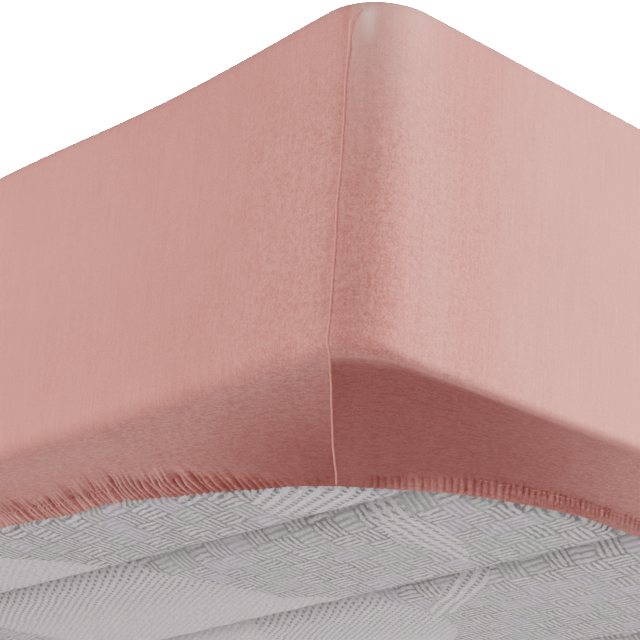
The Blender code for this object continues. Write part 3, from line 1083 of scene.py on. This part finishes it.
def thread_material():
    """Sewing thread, from a little deeper to paler than the knit."""
    nodes = Nodes("thread")
    twist = nodes.noise(nodes.place(), 1500, 2.0, 0.6)
    colour = nodes.mix(twist, scaled(ROSE_PALE, 0.85), scaled(ROSE_PALE, 1.35))
    return nodes.finish(colour, nodes.bump(twist, 0.4, 0.0003).outputs[0], 0.6, 0.4)


# Leaves of the ticking's pattern, in metres on the underside. at: centre; size: half length
# and half width; turn: of the leaf; ribs: their direction and pitch; holes: their pitch, and
# the two values of x between which they lie, if not everywhere.
Leaf = namedtuple("Leaf", "at size turn pointed ribs pitch holes since until")
LEAVES = (
    Leaf((-0.500, 0.170), (0.340, 0.250), 8, False, 63, 0.0074, 0.0150, -0.695, -0.56),
    Leaf((-0.345, -0.015), (0.180, 0.125), 45, False, 58, 0.0070, 0.0140, -0.435, -0.28),
    Leaf((-0.415, -0.260), (0.145, 0.020), 56, True, 56, 0.0105, 0.0105, 0.0, 0.0),
    Leaf((-0.642, -0.434), (0.120, 0.027), 22, True, 22, 0.0125, 0.0130, 0.0, 0.0),
    Leaf((-0.782, -0.455), (0.085, 0.050), 72, True, 68, 0.0115, 0.0085, 0.0, 0.0),
)
REPEAT = (0.800, 1.230)      # of the whole pattern
REPEAT_START = (-0.940, -0.680)
BLOCK = 0.036                # the basket weave between the leaves
RIB = BLOCK / 4
WEAVE_TURNS = (20, 79)       # directions of its two sets of ribs

TICKING_DEEP = (0.174, 0.157, 0.161, 1.0)
TICKING_PALE = (0.698, 0.631, 0.645, 1.0)
BLOCK_LILAC = (0.47, 0.41, 0.47, 1.0)
BLOCK_GREEN = (0.46, 0.50, 0.45, 1.0)
TICKING_TINT = (0.52, 0.47, 0.50, 1.0)
PIN_HOLE = (0.10, 0.10, 0.10, 1.0)
CREASE_SHADE = (0.16, 0.155, 0.15, 1.0)


def turned(x, y, degrees):
    """x and y along and across a direction."""
    cos, sin = math.cos(math.radians(degrees)), math.sin(math.radians(degrees))
    return x * cos + y * sin, y * cos - x * sin


def leaf_pattern(nodes, x, y, leaf):
    """A leaf's mask, the height of its ribs and its holes."""
    from_x = x - leaf.at[0]
    from_y = y - leaf.at[1]
    long_way, wide_way = turned(from_x, from_y, leaf.turn)
    long_share = long_way / leaf.size[0]
    wide_share = nodes.math("ABSOLUTE", wide_way / leaf.size[1])
    if not leaf.pointed:
        wide_share = wide_share * wide_share
    mask = (long_share * long_share + wide_share).stretch(1.03, 0.97)
    along, across = turned(from_x, from_y, leaf.ribs)
    rib = across.wave(leaf.pitch)
    hole = rib.stretch(0.40, 0.15) * (along + across * 0.5).wave(leaf.holes).stretch(0.50, 0.75)
    if leaf.since:
        hole = hole * x.stretch(leaf.since - 0.01, leaf.since + 0.01)
        hole = hole * x.stretch(leaf.until + 0.05, leaf.until - 0.05)
    return mask, rib, hole


def basket_pattern(nodes, x, y):
    """Height of the basket weave, whose blocks of ribs run by turns two ways, and chance."""
    first, second = (math.radians(turn) for turn in WEAVE_TURNS)
    whole = math.cos(first) * math.sin(second) - math.sin(first) * math.cos(second)
    a = x * (math.sin(second) / whole) - y * (math.cos(second) / whole)
    b = y * (math.cos(first) / whole) - x * (math.sin(first) / whole)
    cell_a = nodes.math("FLOOR", a / BLOCK)
    cell_b = nodes.math("FLOOR", b / BLOCK)
    odd = nodes.math("PINGPONG", cell_a + cell_b, 1.0)
    ribs = nodes.blend(odd, (b + RIB / 2).wave(RIB), (a + RIB / 2).wave(RIB))
    edges = (a.wave(BLOCK).stretch(0.99, 0.93), b.wave(BLOCK).stretch(0.99, 0.93))
    ribs = ribs * nodes.blend(odd, *edges).stretch(0.0, 1.0, 0.25, 1.0)
    chance = nodes.add("ShaderNodeTexWhiteNoise", noise_dimensions="2D")
    nodes.put(nodes.vector(cell_a, cell_b), chance.inputs["Vector"])
    return ribs, Value(nodes, chance.outputs["Value"])


def repeated(nodes, value, length, start):
    return nodes.math("FLOORED_MODULO", value - start, length) + start


def ticking_pattern(nodes, place):
    """Height of the ribs, the holes, where the basket weave is, each block's chance, thread."""
    wobble = nodes.noise(place, 14, 1.0, 0.5).spread(0.0008)
    ragged = nodes.noise(place, 45, 3.0, 0.6).spread(0.0012)
    x, y, z = nodes.split(place)
    x = repeated(nodes, x + wobble, REPEAT[0], REPEAT_START[0])
    y = repeated(nodes, y - wobble, REPEAT[1], REPEAT_START[1])
    height, chance = basket_pattern(nodes, x + ragged, y - ragged)
    basket, holes = 1.0, 0.0
    for leaf in LEAVES:
        mask, rib, hole = leaf_pattern(nodes, x, y, leaf)
        height = nodes.blend(mask, height, rib.stretch(0.0, 1.0, 0.45, 0.80))
        holes = nodes.blend(mask, holes, hole)
        basket = nodes.blend(mask, basket, 0.0)
    return height, holes, basket, chance, nodes.noise(nodes.vector(x, y * 0.35), 520, 3.0, 0.7)


def ticking_material():
    """Pale grey jacquard: basket-woven blocks and leaves of ribs with rows of pin-holes."""
    nodes = Nodes("ticking")
    place = nodes.place()
    height, holes, basket, chance, thread = ticking_pattern(nodes, place)
    grain = nodes.noise(place, 430, 3.0, 0.75)
    fine = nodes.bump(thread + grain, 0.8, 0.0009)
    bump = nodes.bump(height - holes * 0.9, 0.9, 0.0022)
    nodes.put(fine.outputs[0], bump.inputs["Normal"])

    faded = nodes.noise(place, 95, 3.0, 0.75).stretch(0.38, 0.60, 0.15, 1.30)
    shade = height.stretch(0.0, 0.30, -1.0, 0.0) * faded + height.stretch(0.35, 0.95, 0.56, 0.86)
    shade = shade + chance.spread(0.10, 0.5) * basket + grain.spread(0.50)
    shade = nodes.math("ADD", shade, thread.spread(0.34), clamp=True)
    colour = nodes.mix(shade, TICKING_DEEP, TICKING_PALE)
    lilac = chance.stretch(0.80, 0.84) * basket
    colour = nodes.mix(lilac * 0.50, colour, BLOCK_LILAC)
    green = chance.stretch(0.22, 0.18) * basket
    colour = nodes.mix(green * 0.30, colour, BLOCK_GREEN)
    tint = nodes.noise(place, 7, 2.0, 0.5).stretch(0.45, 0.75, 0.0, 0.30)
    colour = nodes.mix(tint, colour, TICKING_TINT)
    colour = nodes.mix(holes * 0.65, colour, PIN_HOLE)
    # Painted shade in the creases.
    colour = nodes.mix(nodes.attribute("painted_shading", "Fac"), colour, CREASE_SHADE)
    return nodes.finish(colour, bump.outputs[0], 0.7, 0.1)


# ---------------------------------------------------------------- stage

FOCAL_LENGTH = 94.2          # for a 36 mm sensor
CAMERA_DISTANCE = 0.953      # level distance to the corner
CAMERA_BELOW = 0.328         # below the floor that the mattress rests on
CAMERA_ASIDE = 0.0203        # how far right of the picture's middle the corner lies
CAMERA_HEADING = math.radians(39.64)    # from +Y towards +X
CAMERA_PITCH = math.radians(19.82)
CAMERA_ROLL = math.radians(4.25)

FLOOR_SIZE = 30.0            # from the middle to each side
WORLD_SEEN = 40.0            # strength of the white behind the picture
WORLD_BELOW = 0.50           # and of the light from below and above
WORLD_ABOVE = 0.62

# Soft lamps. place; target; size: width and height; power: in watts.
Lamp = namedtuple("Lamp", "name place target size power")
LAMPS = (
    Lamp("key", (0.9, -3.0, 0.8), (-0.4, -0.76, 0.12), (2.0, 1.8), 98.0),
    Lamp("fill", (-3.4, 1.1, 0.4), (-1.0, -0.1, 0.12), (2.0, 1.8), 43.0),
    Lamp("front", (-3.0, -3.0, -1.2), (-1.0, -0.76, 0.06), (2.0, 1.8), 21.0),
    Lamp("low_left", (-2.6, 0.6, -0.9), (-0.95, -0.2, 0.0), (1.2, 1.2), 18.0),
    Lamp("low_right", (0.2, -2.6, -0.9), (-0.4, -0.6, 0.0), (1.2, 1.2), 10.0),
    Lamp("low_back", (2.4, 2.0, -1.9), (-0.5, -0.3, 0.0), (2.4, 2.4), 52.0),
)


def make_camera():
    heading = Vector((math.sin(CAMERA_HEADING), math.cos(CAMERA_HEADING), 0.0))
    level = Vector((heading.y, -heading.x, 0.0))
    forward = heading * math.cos(CAMERA_PITCH) + Vector((0, 0, math.sin(CAMERA_PITCH)))
    above = level.cross(forward)
    right = level * math.cos(CAMERA_ROLL) + above * math.sin(CAMERA_ROLL)
    up = above * math.cos(CAMERA_ROLL) - level * math.sin(CAMERA_ROLL)
    corner = Vector((-LENGTH / 2, -WIDTH / 2, -CAMERA_BELOW))
    data = bpy.data.cameras.new("camera")
    data.sensor_width = 36.0
    data.lens = FOCAL_LENGTH
    data.clip_start = 0.01
    camera = bpy.data.objects.new("camera", data)
    bpy.context.scene.collection.objects.link(camera)
    place = Matrix((right, up, -forward)).transposed().to_4x4()
    place.translation = corner - heading * CAMERA_DISTANCE - level * CAMERA_ASIDE
    camera.matrix_world = place
    bpy.context.scene.camera = camera


def make_floor():
    """A pale floor that is seen from above and left open from below."""
    size = FLOOR_SIZE
    points = [(-size, -size, 0), (size, -size, 0), (size, size, 0), (-size, size, 0)]
    floor = mesh_object("floor", points, [(0, 1, 2, 3)], smooth_shade=False)
    nodes = Nodes("floor")
    grain = nodes.noise(nodes.place(), 3.0, 3.0, 0.5)
    colour = nodes.mix(grain, (0.80, 0.80, 0.80, 1.0), (0.84, 0.84, 0.84, 1.0))
    nodes.filled(nodes.shader, (colour, 0.9), ("Base Color", "Roughness"))
    below = nodes.add("ShaderNodeNewGeometry").outputs["Backfacing"]
    clear = nodes.add("ShaderNodeBsdfTransparent").outputs[0]
    choice = nodes.add("ShaderNodeMixShader")
    nodes.filled(choice, (below, nodes.shader.outputs[0], clear), (0, 1, 2))
    nodes.put(choice.outputs[0], nodes.tree.nodes["Material Output"].inputs["Surface"])
    floor.data.materials.append(nodes.material)
    floor.visible_diffuse = False
    floor.visible_glossy = False
    floor.visible_transmission = False
    floor.visible_shadow = False


def make_world():
    """White to the camera, and a softer light on the model: brighter above than below."""
    world = bpy.data.worlds.new("studio")
    world.use_nodes = True
    bpy.context.scene.world = world
    tree = world.node_tree
    tree.nodes.clear()
    out = tree.nodes.new("ShaderNodeOutputWorld")
    seen = tree.nodes.new("ShaderNodeBackground")
    seen.inputs["Color"].default_value = (1.0, 1.0, 1.0, 1.0)
    seen.inputs["Strength"].default_value = WORLD_SEEN
    lit = tree.nodes.new("ShaderNodeBackground")
    place = tree.nodes.new("ShaderNodeTexCoord")
    parts = tree.nodes.new("ShaderNodeSeparateXYZ")
    ramp = tree.nodes.new("ShaderNodeMapRange")
    ramp.inputs["From Min"].default_value = -0.6
    ramp.inputs["From Max"].default_value = 0.5
    ramp.inputs["To Min"].default_value = WORLD_BELOW
    ramp.inputs["To Max"].default_value = WORLD_ABOVE
    tree.links.new(place.outputs["Generated"], parts.inputs[0])
    tree.links.new(parts.outputs["Z"], ramp.inputs["Value"])
    tree.links.new(ramp.outputs["Result"], lit.inputs["Strength"])
    path = tree.nodes.new("ShaderNodeLightPath")
    choice = tree.nodes.new("ShaderNodeMixShader")
    tree.links.new(path.outputs["Is Camera Ray"], choice.inputs[0])
    tree.links.new(lit.outputs[0], choice.inputs[1])
    tree.links.new(seen.outputs[0], choice.inputs[2])
    tree.links.new(choice.outputs[0], out.inputs["Surface"])


def make_lamp(lamp):
    data = bpy.data.lights.new(lamp.name, "AREA")
    data.shape = "RECTANGLE"
    data.size, data.size_y = lamp.size
    data.energy = lamp.power
    light = bpy.data.objects.new(lamp.name, data)
    bpy.context.scene.collection.objects.link(light)
    light.location = lamp.place
    way = Vector(lamp.target) - Vector(lamp.place)
    light.rotation_mode = "QUATERNION"
    light.rotation_quaternion = way.to_track_quat("-Z", "Y")


# ---------------------------------------------------------------- put together

def main():
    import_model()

    make_camera()
    make_floor()
    make_world()
    for lamp in LAMPS:
        make_lamp(lamp)
    bpy.context.scene.view_settings.view_transform = "Filmic"
    bpy.context.scene.view_settings.look = "High Contrast"

    jersey = jersey_material("jersey", 1.0)
    # The seams' paler copy of the jersey is a painted highlight on their ridges.
    seam_jersey_painted_highlight = jersey_material("seam_jersey_painted_highlight", 1.2)
    thread = thread_material()
    mattress = make_mattress()
    mattress.data.materials.append(ticking_material())
    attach(mattress, "root")
    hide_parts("mattress")

    sheet = make_sheet()
    sheet.data.materials.append(jersey)
    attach(sheet, "root")
    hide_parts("sheet")

    trims = [make_seam(corner) for corner in range(4)] + [make_stitches()]
    for trim in trims:
        trim.data.materials.append(thread if trim.name == "hem_stitches" else seam_jersey_painted_highlight)
        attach(trim, "root")


main()
